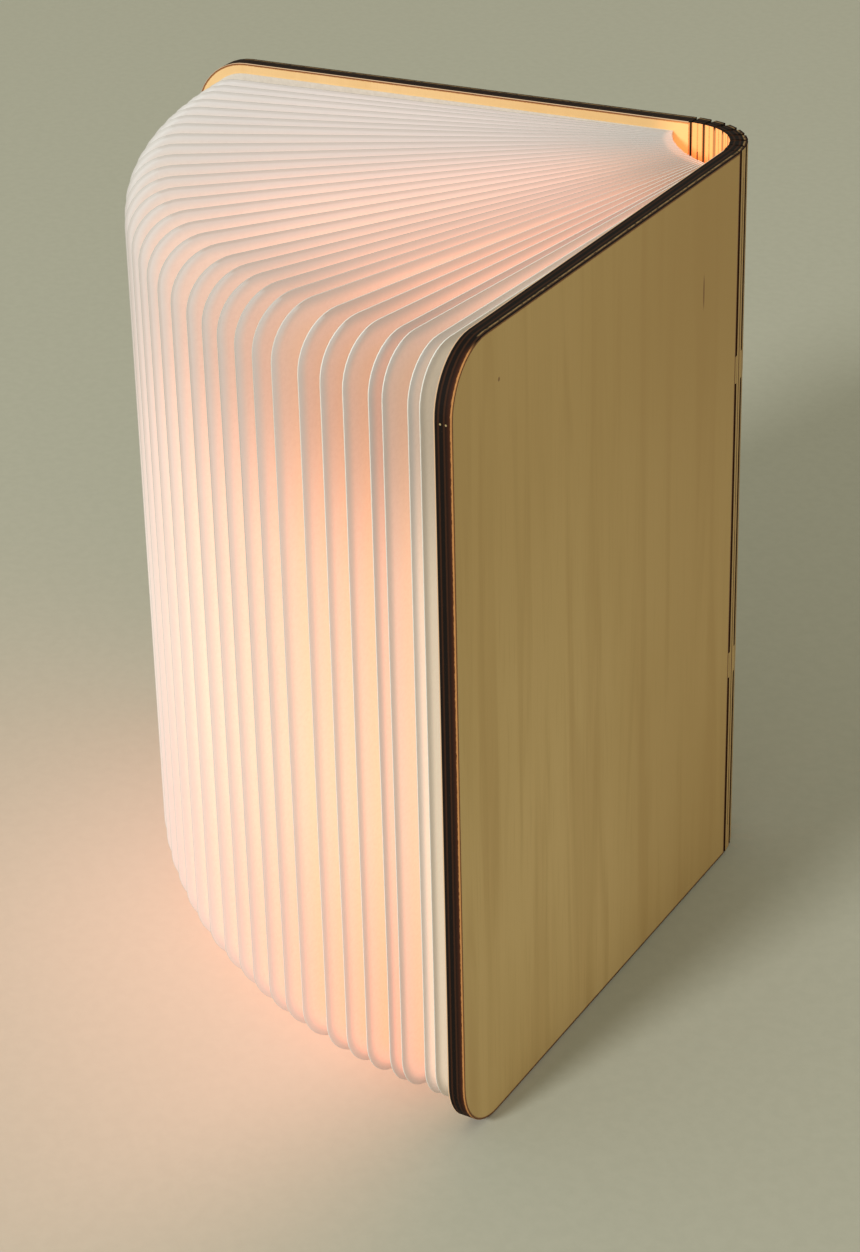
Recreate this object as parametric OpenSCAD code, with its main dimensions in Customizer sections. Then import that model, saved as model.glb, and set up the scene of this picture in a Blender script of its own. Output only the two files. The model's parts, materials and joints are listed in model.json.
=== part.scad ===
// Folding book lamp: two plywood covers joined by a laser-cut living hinge, a fan of
// paper leaves between them and a light engine upright in the spine.
// Origin on the ground under the middle of the spine, +Z up, pages towards -Y,
// front cover on the +X side. It stands on its bottom edges, open to about a right angle.

/* [Covers] */
// Height of the covers and of the spine
cover_h = 215; // [170:1:300]
// Width of a cover from its hinge line to the fore edge
cover_w = 154.5; // [110:0.5:220]
// Thickness of the plywood
board_t = 4.8; // [4.4:0.1:5.2]
// Radius of the two fore-edge corners of a cover
corner_r = 16.5; // [8:0.5:30]

/* [Living hinge] */
// Distance between neighbouring through kerfs
kerf_pitch = 4.3; // [4.1:0.1:5.5]
// Turn at each through kerf at rest in degrees, from the middle of the spine outwards
rest_turns = [13.9, 13.9, 11.75, 7.2]; // [2:0.05:16]
// Room left between two slats when the book is shut
kerf_clear = 0.08; // [0.04:0.01:0.2]
// Height of the bridges left uncut across a kerf
bridge_h = 8; // [4:0.5:12]
// Height of the two bridges of a through kerf above and below the middle
bridge_off = 45.4; // [30:0.1:60]
// Running clearance of a bridge barrel in its kerf
barrel_clear = 0.02; // [0.01:0.01:0.06]
// Width of the fine slit that splits each slat between its bridges
slit_w = 0.3; // [0.15:0.05:0.5]

/* [Leaves] */
// Leaves that open over each kerf, from the middle of the spine outwards
leaf_counts = [5, 4, 4, 3]; // [2:1:6]
// Lean of each leaf towards the front cover at rest in degrees, front leaf first
leaf_leans = [0.4, 1.6, 1.3, 2.718, 2.8, 3.1, 3.3, 3.215, 4, 4.8, 5.4, 5.3, 5.144, 4.5, 3.86, 3.22,
    2.57, 1.93, 1.29, 0.64, 0, 0, 0, 0, 0, 0, 0, 0, 0, 0, 0]; // [0:0.001:6]
// Thickness of one folded leaf
leaf_t = 0.28; // [0.16:0.02:0.3]
// Free room between the last leaf and the endpaper when shut
leaf_end_gap = 0.16; // [0.1:0.02:0.3]
// Thickness of an endpaper, glued to its cover
endpaper_t = 0.3; // [0.1:0.05:0.4]
// Gap between the light tube and the inner edges of the leaves when shut
leaf_gap = 0.8; // [0.6:0.1:4]
// How much further out the middle leaf reaches than the outermost ones
leaf_reach = 1.6; // [0:0.1:2]
// Margin of the leaves inside the cover's edges
leaf_inset = 3; // [1:0.25:6]

/* [Magnets] */
// Diameter of a cover magnet
magnet_d = 8; // [5:0.5:12]
// Thickness of a cover magnet
magnet_t = 3; // [1.5:0.1:3.4]
// Distance of the cover magnets from the fore edge
magnet_fore = 10; // [8:0.5:20]
// Distance of the cover magnets from the top and bottom edges
magnet_end = 38; // [25:1:60]
// Diameter of the switch magnet
switch_magnet_d = 5; // [3:0.5:6]
// Thickness of the switch magnet
switch_magnet_t = 2; // [1:0.1:3]
// Distance of the switch magnet from the hinge line
switch_magnet_x = 7; // [5:0.5:12]
// Room round a magnet in its pocket
pocket_clear = 0.05; // [0.02:0.01:0.2]

/* [Light engine] */
// Wall of the diffuser tube
tube_wall = 0.8; // [0.5:0.1:1]
// Gap between the charging socket and the bore of the tube on each side
socket_gap = 0.33; // [0.25:0.01:0.5]
// Gap between the tube and the middle slat
tube_gap = 0.4; // [0.3:0.05:0.5]
// Distance of the light engine from the top and bottom of the spine
engine_end = 14; // [10:0.5:25]
// Thickness of the end caps outside the tube
cap_t = 2; // [1:0.1:4]
// Length of the spigot of an end cap
spigot_l = 5; // [4:0.5:8]
// Clearance of the spigots and the bar in what they fit
fit_clear = 0.05; // [0.02:0.01:0.15]
// Gap between the carrier bar and the bore of the tube on each side
bar_gap = 0.5; // [0.3:0.05:0.8]
// Thickness of the carrier bar
bar_t = 1.2; // [0.8:0.1:1.6]
// Depth of the bar's lower end in the bottom cap, short of the spigot's length
bar_rise = 2; // [1:0.1:3]
// Distance between the upper end of the bar and the charging socket
bar_short = 8; // [6:0.5:12]
// Width of the light strip
strip_w = 5; // [4:0.1:6]
// Thickness of the light strip
strip_t = 0.25; // [0.15:0.05:0.4]
// Distance of the light strip from the ends of the bar
strip_end = 4; // [3:0.5:8]
// Length of the leads soldered along the end of the strip
solder_l = 3; // [2:0.25:4]
// Gap between those leads and the last lamp
solder_gap = 0.5; // [0.3:0.1:2]
// Number of lamps on the light strip
chip_count = 16; // [8:1:20]
// Width, length and height of a lamp
chip_size = [2.8, 3.5, 0.7]; // [0.5:0.1:4]
// Width of the battery cell
cell_w = 5.8; // [4.5:0.1:6]
// Thickness of the battery cell
cell_t = 2.8; // [2:0.1:3]
// Distance of the battery cell from the lower end of the bar
cell_end = 6; // [4:0.5:12]
// Gap between the battery cell and the reed switch
cell_gap = 11.7; // [4:0.1:40]
// Radius of the cell's long corners
cell_r = 0.6; // [0.3:0.1:1]
// Width of the control board
pcb_w = 6.8; // [6:0.1:7.4]
// Thickness of the control board
pcb_t = 0.8; // [0.6:0.1:1.2]
// Length of the control board
pcb_l = 46; // [36:1:52]
// Width, thickness, length and place of each part on the control board
board_list = [[4.4, 1.8, 4, 2], [1.2, 0.8, 2, 12], [1.2, 0.8, 2, 16], [3, 1.6, 3, 22],
    [4, 0.8, 4, 30]]; // [0.8:0.1:36]
// Width of the charging socket
socket_w = 8.94; // [8.8:0.02:9]
// Height of the charging socket
socket_t = 3.16; // [3:0.02:3.2]
// Length of the charging socket
socket_l = 7.3; // [6:0.1:8]
// Wall of the charging socket
socket_wall = 0.3; // [0.2:0.05:0.4]
// Width and thickness of the tongue in the charging socket
tongue_size = [5.94, 0.7]; // [0.5:0.02:6]
// Depth of the tongue behind the mouth of the charging socket
tongue_deep = 1; // [0.5:0.1:2]
// Diameter of the reed switch
reed_d = 2; // [1.6:0.1:2.4]
// Length of the glass of the reed switch
reed_l = 12; // [9:0.5:14]
// Length of the wire at each end of the reed switch
reed_wire_l = 2; // [1:0.5:4]
// Diameter of that wire
reed_wire_d = 0.5; // [0.4:0.1:0.8]
// Distance of the reed switch from the middle of the bar
reed_x = 1.8; // [1.2:0.1:2]
// Diameter of a lead
lead_d = 0.8; // [0.5:0.1:1]
// Number of saddles that hold the tube to the spine
saddle_count = 3; // [2:1:4]
// Height of a saddle
saddle_h = 10; // [6:0.5:14]
// Width of a saddle
saddle_w = 2.6; // [2:0.1:2.8]

/* [Hidden] */
$fn = 96;
shut_turn = 90;
eps = 0.01;

wood = [0.72, 0.58, 0.38];
paper = [0.95, 0.92, 0.86];
frosted = [0.98, 0.86, 0.66];
steel = [0.75, 0.76, 0.78];

mid_z = cover_h / 2;
kerfs = len(rest_turns);
leaf_ends = [for (i = 0, n = 0; i <= kerfs; n = n + (i < kerfs ? leaf_counts[i] : 0), i = i + 1) n];
side_leaves = leaf_ends[kerfs] - 1;
slat_count = 2 * kerfs - 1;
leaf_count = 2 * side_leaves + 1;

// Turn of slat j at rest and when shut, measured from the middle slat
function sum_to(list, n) = n <= 0 ? 0 : list[n - 1] + sum_to(list, n - 1);
rest_turn = sum_to(rest_turns, kerfs);
shut_turns = [for (b = rest_turns) b * shut_turn / rest_turn];
function turn(bends, j) = sum_to(bends, j);
// Axis of kerf i, counted from 1, on the +X side
function axis(bends, i) = i <= 1 ? [kerf_pitch / 2, 0]
    : axis(bends, i - 1) + kerf_pitch * [cos(turn(bends, i - 1)), -sin(turn(bends, i - 1))];
// Width of kerf i, so that its slats just clear each other when the book is shut
function kerf_w(i) = board_t * tan(shut_turns[i - 1] / 2) + kerf_clear;

shut_axis = axis(shut_turns, kerfs);
shut_half = shut_axis[0] - board_t / 2;
leaf_pitch = (shut_half - endpaper_t - leaf_end_gap - leaf_t / 2) / side_leaves;
leaf_end = cover_w - shut_axis[1] - leaf_inset;
leaf_r = corner_r - leaf_inset;

// Slat that leaf n rides on, and its share of the bend of the next kerf
function leaf_slat(n) = max([for (j = [0 : kerfs - 1]) if (leaf_ends[j] <= n) j]);
function leaf_share(n) = (n - leaf_ends[leaf_slat(n)]) / leaf_counts[leaf_slat(n)];
function leaf_out(n) = leaf_reach * (1 - pow(n / side_leaves, 2));
function leaf_turn(bends, n) = turn(bends, leaf_slat(n))
    + leaf_share(n) * bends[leaf_slat(n)];

pocket_d = magnet_d + 2 * pocket_clear;
pocket_deep = magnet_t + pocket_clear;
bore_d = socket_w + 2 * socket_gap;
tube_d = bore_d + 2 * tube_wall;
tube_y = -(board_t / 2 + tube_gap + tube_d / 2);
leaf_start = -tube_y + tube_d / 2 + leaf_gap;
tube_z0 = engine_end + cap_t;
tube_z1 = cover_h - engine_end - cap_t;
bar_w = bore_d - 2 * bar_gap;
bar_z0 = tube_z0 + bar_rise;
socket_z0 = cover_h - engine_end - socket_l;
pcb_z0 = socket_z0 - pcb_l;
bar_z1 = socket_z0 - bar_short;
reed_z0 = pcb_z0 - reed_wire_l - reed_l;
cell_z0 = bar_z0 + cell_end;
cell_z1 = reed_z0 - reed_wire_l - cell_gap;
back_y = tube_y + bar_t / 2;
front_y = tube_y - bar_t / 2;
strip_z0 = bar_z0 + strip_end;
strip_z1 = bar_z1 - strip_end;

function two(n) = str(n < 10 ? "0" : "", n);
slat_names = [for (i = [1 : slat_count]) str("spine_slat_", i)];
leaf_names = [for (i = [1 : leaf_count]) str("page_", two(i))];

// Children drawn on the +X side are mirrored for the back half of the book
module on_side(side) {
    if (side < 0) mirror([1, 0, 0]) children();
    else children();
}

// Frame of slat j at rest: origin on its kerf axis, +X along the board, +Y outwards
module slat_frame(j) {
    place = j == 0 ? [0, 0] : axis(rest_turns, j);
    translate([place[0], place[1], 0]) rotate([0, 0, -turn(rest_turns, j)]) children();
}

// Upright sheet along +X from x0 to x1, with both corners at x1 rounded
module sheet(x0, x1, z0, z1, r, t) {
    rotate([90, 0, 0]) linear_extrude(height = t, center = true) {
        translate([x0, z0]) square([x1 - r - x0, z1 - z0]);
        translate([x0, z0 + r]) square([x1 - x0, z1 - z0 - 2 * r]);
        for (z = [z0 + r, z1 - r]) translate([x1 - r, z]) circle(r = r);
    }
}

// Disc in the inner face of a cover, with a depth and an overshoot into the open
module inner_disc(x, z, d, deep, over = 0) {
    translate([x, -board_t / 2 + deep, z]) rotate([90, 0, 0]) cylinder(h = deep + over, d = d);
}

module cover_blank() {
    sheet(kerf_w(kerfs) / 2, cover_w, 0, cover_h, corner_r, board_t);
}

module magnet_pockets() {
    for (z = [magnet_end, cover_h - magnet_end])
        inner_disc(cover_w - magnet_fore, z, pocket_d, pocket_deep, eps);
}

module cover_magnets() {
    slat_frame(kerfs) for (z = [magnet_end, cover_h - magnet_end])
        inner_disc(cover_w - magnet_fore, z, magnet_d, magnet_t);
}

module front_cover() {
    color(wood) slat_frame(kerfs) difference() {
        cover_blank();
        magnet_pockets();
        inner_disc(switch_magnet_x, mid_z, switch_magnet_d + 2 * pocket_clear,
            switch_magnet_t + pocket_clear, eps);
    }
}

module back_cover() {
    color(wood) on_side(-1) slat_frame(kerfs) difference() {
        cover_blank();
        magnet_pockets();
    }
}

// Barrels on the axis of kerf i, in the frame where that axis is at x, fused to the
// slat on the low side by a web as thick as the barrel
module bridge_barrels(i, x) {
    r = kerf_w(i) / 2 - barrel_clear;
    for (z = [mid_z - bridge_off, mid_z + bridge_off]) translate([x, 0, z - bridge_h / 2]) {
        cylinder(h = bridge_h, r = r);
        translate([-kerf_w(i) / 2 - eps, -r, 0]) cube([kerf_w(i) / 2 + eps, 2 * r, bridge_h]);
    }
}

// The fine slits that stop short of the ends and of the middle
module fine_slits(x) {
    for (z = [bridge_h, mid_z + bridge_h / 2])
        translate([x - slit_w / 2, -board_t, z])
            cube([slit_w, 2 * board_t, mid_z - 1.5 * bridge_h]);
}

module slat_board(x0, x1) {
    difference() {
        translate([x0, -board_t / 2, 0]) cube([x1 - x0, board_t, cover_h]);
        fine_slits((x0 + x1) / 2);
    }
}

// Slat i of the spine, counted from the front cover
module spine_slat(i) {
    j = abs(kerfs - i);
    x1 = kerf_pitch - kerf_w(j + 1) / 2;
    color(wood) if (j == 0) {
        half = x1 - kerf_pitch / 2;
        slat_board(-half, half);
        bridge_barrels(1, kerf_pitch / 2);
        mirror([1, 0, 0]) bridge_barrels(1, kerf_pitch / 2);
    } else on_side(kerfs - i) slat_frame(j) {
        slat_board(kerf_w(j) / 2, x1);
        bridge_barrels(j + 1, kerf_pitch);
    }
}

// Leaf i, counted from the front cover, swings about the kerf outside its slat. Shut, the
// leaves lie evenly; at rest each one leans a little towards the front cover.
module leaf(i) {
    side = side_leaves + 1 - i;
    n = abs(side);
    from = axis(shut_turns, leaf_slat(n) + 1);
    to = axis(rest_turns, leaf_slat(n) + 1);
    lean = (side < 0 ? -1 : 1) * leaf_leans[i - 1];
    swing = leaf_turn(shut_turns, n) - leaf_turn(rest_turns, n) + lean;
    color(paper) on_side(side) translate([to[0], to[1], 0]) rotate([0, 0, swing])
        translate([n * leaf_pitch - from[0], -from[1], 0]) rotate([0, 0, -90])
            sheet(leaf_start, leaf_end + leaf_out(n), leaf_inset, cover_h - leaf_inset,
                leaf_r, leaf_t);
}

module endpaper() {
    color(paper) slat_frame(kerfs) translate([0, -(board_t + endpaper_t) / 2, 0])
        sheet(leaf_start + shut_axis[1], cover_w - leaf_inset, leaf_inset,
            cover_h - leaf_inset, leaf_r, endpaper_t);
}

module front_magnets() { color(steel) cover_magnets(); }
module back_magnets() { color(steel) on_side(-1) cover_magnets(); }

module switch_magnet() {
    color(steel) slat_frame(kerfs)
        inner_disc(switch_magnet_x, mid_z, switch_magnet_d, switch_magnet_t);
}

// Frame of the light engine, on the axis of its tube
module engine() { translate([0, tube_y, 0]) children(); }

module diffuser_tube() {
    color(frosted) engine() translate([0, 0, tube_z0]) difference() {
        cylinder(h = tube_z1 - tube_z0, d = tube_d);
        translate([0, 0, -eps]) cylinder(h = tube_z1 - tube_z0 + 2 * eps, d = bore_d);
    }
}

// A slot with round ends, its long side along X
module stadium(w, t) {
    square([w - t, t], center = true);
    for (x = [-1, 1]) translate([x * (w - t) / 2, 0]) circle(d = t);
}

module cap_body() {
    cylinder(h = cap_t, d = tube_d);
    translate([0, 0, cap_t - eps]) cylinder(h = spigot_l + eps, d = bore_d - 2 * fit_clear);
}

module bottom_cap() {
    color("white") engine() translate([0, 0, engine_end]) difference() {
        cap_body();
        translate([0, 0, cap_t + bar_rise]) linear_extrude(height = spigot_l)
                square([bar_w + 2 * fit_clear, bar_t + 2 * fit_clear], center = true);
    }
}

module top_cap() {
    color("white") engine() translate([0, 0, cover_h - engine_end]) mirror([0, 0, 1])
        difference() {
            cap_body();
            translate([0, 0, -eps]) linear_extrude(height = cap_t + spigot_l + 3 * eps)
                stadium(socket_w + 2 * fit_clear, socket_t + 2 * fit_clear);
        }
}

module tube_saddles() {
    step = (tube_z1 - tube_z0) / saddle_count;
    deep = tube_gap + saddle_w / 4;
    color("white") for (i = [0 : saddle_count - 1])
        translate([0, 0, tube_z0 + (i + 0.5) * step - saddle_h / 2]) difference() {
            translate([-saddle_w / 2, -board_t / 2 - deep, 0])
                cube([saddle_w, deep, saddle_h]);
            translate([0, tube_y, -eps])
                cylinder(h = saddle_h + 2 * eps, r = tube_d / 2 + fit_clear);
        }
}

module carrier_bar() {
    color(steel) engine() translate([-bar_w / 2, -bar_t / 2, bar_z0])
        cube([bar_w, bar_t, bar_z1 - bar_z0]);
}

module light_strip() {
    color("white") translate([-strip_w / 2, front_y - strip_t, strip_z0])
        cube([strip_w, strip_t, strip_z1 - strip_z0]);
}

module light_chips() {
    margin = solder_l + solder_gap;
    step = (strip_z1 - strip_z0 - 2 * margin - chip_size[1]) / (chip_count - 1);
    color("gold") for (i = [0 : chip_count - 1])
        translate([-chip_size[0] / 2, front_y - strip_t - chip_size[2],
            strip_z0 + margin + i * step])
            cube([chip_size[0], chip_size[2], chip_size[1]]);
}

module battery_cell() {
    color("silver") translate([0, back_y + cell_t / 2, cell_z0])
        linear_extrude(height = cell_z1 - cell_z0) {
            square([cell_w - 2 * cell_r, cell_t], center = true);
            square([cell_w, cell_t - 2 * cell_r], center = true);
            for (x = [-1, 1], y = [-1, 1])
                translate([x * (cell_w / 2 - cell_r), y * (cell_t / 2 - cell_r)])
                    circle(r = cell_r);
        }
}

module battery_leads() {
    color("firebrick") for (x = [-3, -1.5]) translate([x * lead_d, back_y + lead_d / 2, cell_z1])
        cylinder(h = pcb_z0 - cell_z1, d = lead_d);
}

module control_board() {
    color("darkgreen") translate([-pcb_w / 2, back_y, pcb_z0]) cube([pcb_w, pcb_t, pcb_l]);
}

// Plug, two capacitors, coil and charge chip on the back of the control board
module board_parts() {
    color("dimgray") for (b = board_list)
        translate([-b[0] / 2, back_y + pcb_t, pcb_z0 + b[3]]) cube([b[0], b[1], b[2]]);
}

module charging_socket() {
    color(steel) engine() translate([0, 0, socket_z0]) {
        linear_extrude(height = socket_wall) stadium(socket_w, socket_t);
        linear_extrude(height = socket_l) difference() {
            stadium(socket_w, socket_t);
            stadium(socket_w - 2 * socket_wall, socket_t - 2 * socket_wall);
        }
        linear_extrude(height = socket_l - tongue_deep) square(tongue_size, center = true);
    }
}

module reed_switch() {
    color("aquamarine") translate([reed_x, back_y + reed_d / 2, reed_z0]) {
        cylinder(h = reed_l, d = reed_d);
        translate([0, 0, -reed_wire_l])
            cylinder(h = reed_l + 2 * reed_wire_l, d = reed_wire_d);
    }
}

// Two leads from the strip over the end of the bar to the control board
module light_leads() {
    low = front_y - strip_t - lead_d / 2;
    over = bar_z1 + lead_d / 2 + fit_clear;
    from = strip_z1 - solder_l;
    color("firebrick") for (x = [-1.25, 1.25]) translate([x * lead_d, 0, 0]) {
        translate([0, low, from]) cylinder(h = over - from, d = lead_d);
        translate([0, low, over]) sphere(d = lead_d);
        translate([0, back_y, over]) rotate([90, 0, 0]) cylinder(h = back_y - low, d = lead_d);
    }
}

front_cover();
back_cover();
for (i = [1 : slat_count]) spine_slat(i);
for (i = [1 : leaf_count]) leaf(i);
endpaper();  // front_endpaper
on_side(-1) endpaper();  // back_endpaper
front_magnets();
back_magnets();
switch_magnet();
diffuser_tube();
top_cap();
bottom_cap();
tube_saddles();
carrier_bar();
light_strip();
light_chips();
battery_cell();
battery_leads();
light_leads();
control_board();
board_parts();
charging_socket();
reed_switch();
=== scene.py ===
"""Looks of the folding book lamp: plywood covers on a living hinge round a glowing fan of leaves.

Lengths are in metres. In plan, the kerf axes of the hinge come from the frame's joints.
A board point is (u, v, z): u along the board from its kerf axis, v outwards from the middle of
the plywood, z up. The attribute board is that point with u run on from the middle of the spine,
so that the grain carries on from piece to piece. A leaf point is (s, n, z): s from the spine
outwards, n across the leaf towards the front cover, z up.
"""
import json
import math

import bpy
import numpy as np
from mathutils import Matrix, Vector


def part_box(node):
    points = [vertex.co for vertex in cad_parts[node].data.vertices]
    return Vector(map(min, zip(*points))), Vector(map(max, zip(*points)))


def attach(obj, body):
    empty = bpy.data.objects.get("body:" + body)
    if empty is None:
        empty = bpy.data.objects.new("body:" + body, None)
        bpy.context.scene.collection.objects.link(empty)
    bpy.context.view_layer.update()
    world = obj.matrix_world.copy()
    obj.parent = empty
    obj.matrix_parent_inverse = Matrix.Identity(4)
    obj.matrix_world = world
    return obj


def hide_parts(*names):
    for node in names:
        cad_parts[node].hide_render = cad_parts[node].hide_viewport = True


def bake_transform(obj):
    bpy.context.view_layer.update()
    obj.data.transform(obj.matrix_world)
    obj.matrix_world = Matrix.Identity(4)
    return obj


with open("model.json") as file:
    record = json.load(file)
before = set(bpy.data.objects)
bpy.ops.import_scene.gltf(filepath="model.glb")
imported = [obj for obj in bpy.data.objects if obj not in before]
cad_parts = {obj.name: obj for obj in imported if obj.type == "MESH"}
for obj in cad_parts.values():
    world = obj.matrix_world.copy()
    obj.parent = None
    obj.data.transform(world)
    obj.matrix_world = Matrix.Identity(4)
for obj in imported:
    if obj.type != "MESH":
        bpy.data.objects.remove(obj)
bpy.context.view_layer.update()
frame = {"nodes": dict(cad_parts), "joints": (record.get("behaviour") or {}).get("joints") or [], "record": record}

MM = 0.001
SIDES = {"front": 1, "back": -1}

# ---------------------------------------------------------------- sizes, read from the frame
SLAT_LOW, SLAT_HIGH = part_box("spine_slat_4")
BOARD_T = SLAT_HIGH.y - SLAT_LOW.y
HEIGHT = SLAT_HIGH.z - SLAT_LOW.z
MID_Z = HEIGHT / 2
JOINTS = {j["name"]: j for j in frame["joints"]}
AXES = [Vector(JOINTS[f"front_kerf_{k}"]["pos_m"][:2]) for k in (1, 2, 3, 4)]
PITCH = (AXES[1] - AXES[0]).length
KERFS = len(AXES)


def slat_turns():
    """Turn of slats 0 to 3 and of the cover from the middle slat at rest, in radians."""
    steps = [AXES[k + 1] - AXES[k] for k in range(KERFS - 1)]
    turns = [0.0] + [-math.atan2(step.y, step.x) for step in steps]
    share = 1.0
    for coupling in frame["record"]["behaviour"]["couplings"]:
        if coupling["joint"] == f"front_kerf_{KERFS}":
            share = coupling["ratio"]
    return turns + [turns[-1] + share * turns[1]]


TURNS = slat_turns()
BENDS = [TURNS[k + 1] - TURNS[k] for k in range(KERFS)]
# Room that the strips beside a kerf leave each other when the book is shut
KERF_CLEAR = 0.08 * MM


def kerf_widths():
    """Width of each through kerf: its strips just clear each other when the book is shut."""
    widths = []
    for k, bend in enumerate(BENDS, 1):
        shut = bend - math.radians(JOINTS[f"front_kerf_{k}"]["range_deg"][0])
        widths.append(BOARD_T * math.tan(shut / 2) + KERF_CLEAR)
    return widths


KERF_W = kerf_widths()


def body_of(node):
    """Name of the body that carries a CAD node."""
    bodies = frame["record"]["behaviour"]["bodies"]
    return next(name for name, nodes in bodies.items() if node in nodes)


# ---------------------------------------------------------------- camera and light
CAMERA_PLACE = (0.708254, -0.294447, 0.475311)
CAMERA_RIGHT = Vector((0.279007, 0.959928, -0.026334))
CAMERA_UP = Vector((-0.397381, 0.140378, 0.906853))
CAMERA_LENS = 86.455
CAMERA_SENSOR = 36
CAMERA_SHIFT = (0.0331, -0.134)
CAMERA_CLIP = (0.01, 50)
KEY_PLACE = (2.25, -3.73, 2.5)
KEY_TARGET = (0, -0.05, 0.08)
KEY_SIZE = 1.0
KEY_POWER = 180.0
KEY_COLOUR = (1.0, 1.0, 0.98)

scene = bpy.context.scene


def make_camera():
    """Camera at the photograph's place, from a perspective fit of the lamp's corners."""
    data = bpy.data.cameras.new("camera")
    data.lens = CAMERA_LENS
    data.sensor_width = CAMERA_SENSOR
    data.shift_x, data.shift_y = CAMERA_SHIFT
    data.clip_start, data.clip_end = CAMERA_CLIP
    camera = bpy.data.objects.new("camera", data)
    right, up = CAMERA_RIGHT.normalized(), CAMERA_UP.normalized()
    back = right.cross(up).normalized()
    turn = Matrix((right, up, back)).transposed()
    camera.matrix_world = Matrix.Translation(CAMERA_PLACE) @ turn.to_4x4()
    scene.collection.objects.link(camera)
    scene.camera = camera


def make_key_light():
    """The studio's one soft lamp."""
    data = bpy.data.lights.new("key", "AREA")
    data.shape = "DISK"
    data.size = KEY_SIZE
    data.energy = KEY_POWER
    data.color = KEY_COLOUR
    light = bpy.data.objects.new("key", data)
    light.location = KEY_PLACE
    aim = Vector(KEY_TARGET) - Vector(KEY_PLACE)
    light.rotation_euler = aim.to_track_quat("-Z", "Y").to_euler()
    scene.collection.objects.link(light)


# ---------------------------------------------------------------- node helpers
# Places of the colour sockets in a Mix node, which has sockets of the same names for other types
MIX_COLOURS_IN = slice(6, 8)
MIX_COLOUR_OUT = 2


class Nodes:
    """Short calls for the nodes of one material."""

    def __init__(self, name):
        self.material = bpy.data.materials.new(name)
        self.material.use_nodes = True
        self.tree = self.material.node_tree
        self.tree.nodes.clear()
        self.out = self.tree.nodes.new("ShaderNodeOutputMaterial")

    def put(self, value, socket):
        """Link another node's socket to this one, or set this one's value."""
        if isinstance(value, bpy.types.NodeSocket):
            self.tree.links.new(value, socket)
        else:
            socket.default_value = value

    def math(self, kind, *values):
        node = self.tree.nodes.new("ShaderNodeMath")
        node.operation = kind
        for value, socket in zip(values, node.inputs):
            self.put(value, socket)
        return node.outputs[0]

    def smooth(self, value, low, high, to_low=0.0, to_high=1.0):
        """A soft step from to_low, where value is at low, to to_high, where it is at high."""
        node = self.tree.nodes.new("ShaderNodeMapRange")
        node.interpolation_type = "SMOOTHSTEP"
        for put, socket in zip((value, low, high, to_low, to_high), node.inputs):
            self.put(put, socket)
        return node.outputs[0]

    def mix(self, share, a, b):
        """Colour a where share is 0, and colour b where it is 1."""
        node = self.tree.nodes.new("ShaderNodeMix")
        node.data_type = "RGBA"
        self.put(share, node.inputs["Factor"])
        for value, socket in zip((a, b), node.inputs[MIX_COLOURS_IN]):
            self.put(value if isinstance(value, bpy.types.NodeSocket) else (*value, 1), socket)
        return node.outputs[MIX_COLOUR_OUT]

    def attribute(self, name, output="Vector"):
        node = self.tree.nodes.new("ShaderNodeAttribute")
        node.attribute_name = name
        return node.outputs[output]

    def place(self):
        return self.tree.nodes.new("ShaderNodeTexCoord").outputs["Object"]

    def split(self, vector):
        node = self.tree.nodes.new("ShaderNodeSeparateXYZ")
        self.put(vector, node.inputs[0])
        return node.outputs

    def scaled(self, vector, factors):
        node = self.tree.nodes.new("ShaderNodeVectorMath")
        node.operation = "MULTIPLY"
        self.put(vector, node.inputs[0])
        self.put(factors, node.inputs[1])
        return node.outputs[0]

    def noise(self, vector, scale, detail=3.0, rough=0.5, warp=0.0):
        node = self.tree.nodes.new("ShaderNodeTexNoise")
        self.put(vector, node.inputs["Vector"])
        self.put(scale, node.inputs["Scale"])
        self.put(detail, node.inputs["Detail"])
        self.put(rough, node.inputs["Roughness"])
        self.put(warp, node.inputs["Distortion"])
        return node.outputs["Fac"]

    def bump(self, height, strength, distance):
        node = self.tree.nodes.new("ShaderNodeBump")
        self.put(strength, node.inputs["Strength"])
        self.put(distance, node.inputs["Distance"])
        self.put(height, node.inputs["Height"])
        return node.outputs[0]

    def surface(self, **values):
        """Finish the material with these inputs of a Principled shader (_ stands for a space)."""
        node = self.tree.nodes.new("ShaderNodeBsdfPrincipled")
        for name, value in values.items():
            socket = node.inputs[name.replace("_", " ")]
            if not isinstance(value, bpy.types.NodeSocket) and socket.type == "RGBA":
                value = (*value, 1)
            self.put(value, socket)
        self.tree.links.new(node.outputs[0], self.out.inputs["Surface"])
        return self.material


# ---------------------------------------------------------------- wood
# Tan, brown and pale tone of the outer faces, of the covers' inner faces, and of the slats' ones, whose orange is
# painted light of the lamp in the hollow of the spine
FACE_TONES = ((0.60, 0.41, 0.165), (0.47, 0.29, 0.10), (0.66, 0.46, 0.20))
INSIDE_TONES = ((0.74, 0.53, 0.27), (0.64, 0.43, 0.19), (0.80, 0.60, 0.33))
CHANNEL_LIT_TONES = ((0.80, 0.46, 0.20), (0.74, 0.36, 0.13), (0.86, 0.54, 0.27))
# Cut edges, and what the laser leaves beside them
CHAR = (0.006, 0.0035, 0.0025)
CHAR_BROWN = (0.042, 0.015, 0.006)
CHAR_RED = (0.075, 0.020, 0.007)
PLY_TAN = (0.30, 0.19, 0.08)
SCORCH = (0.22, 0.080, 0.018)
VENEER_EDGE = (0.52, 0.240, 0.080)
FLECK = (0.20, 0.085, 0.030)
# Light of the lamp on the inner faces of the covers
INSIDE_LIGHT = (0.08, 0.03, 0.01)
# Light on the wood round the hollow of the spine: by its mouth and deeper in
HOLE_TOP = (0.52, 0.20, 0.06)
HOLE_DEEP = (0.70, 0.10, 0.015)
# Light on the inner edges of the covers, and on the walls of the kerfs
COVER_EDGE_LIGHT = (1.0, 0.66, 0.38)
KERF_LIGHT = (1.0, 0.40, 0.14)
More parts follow.
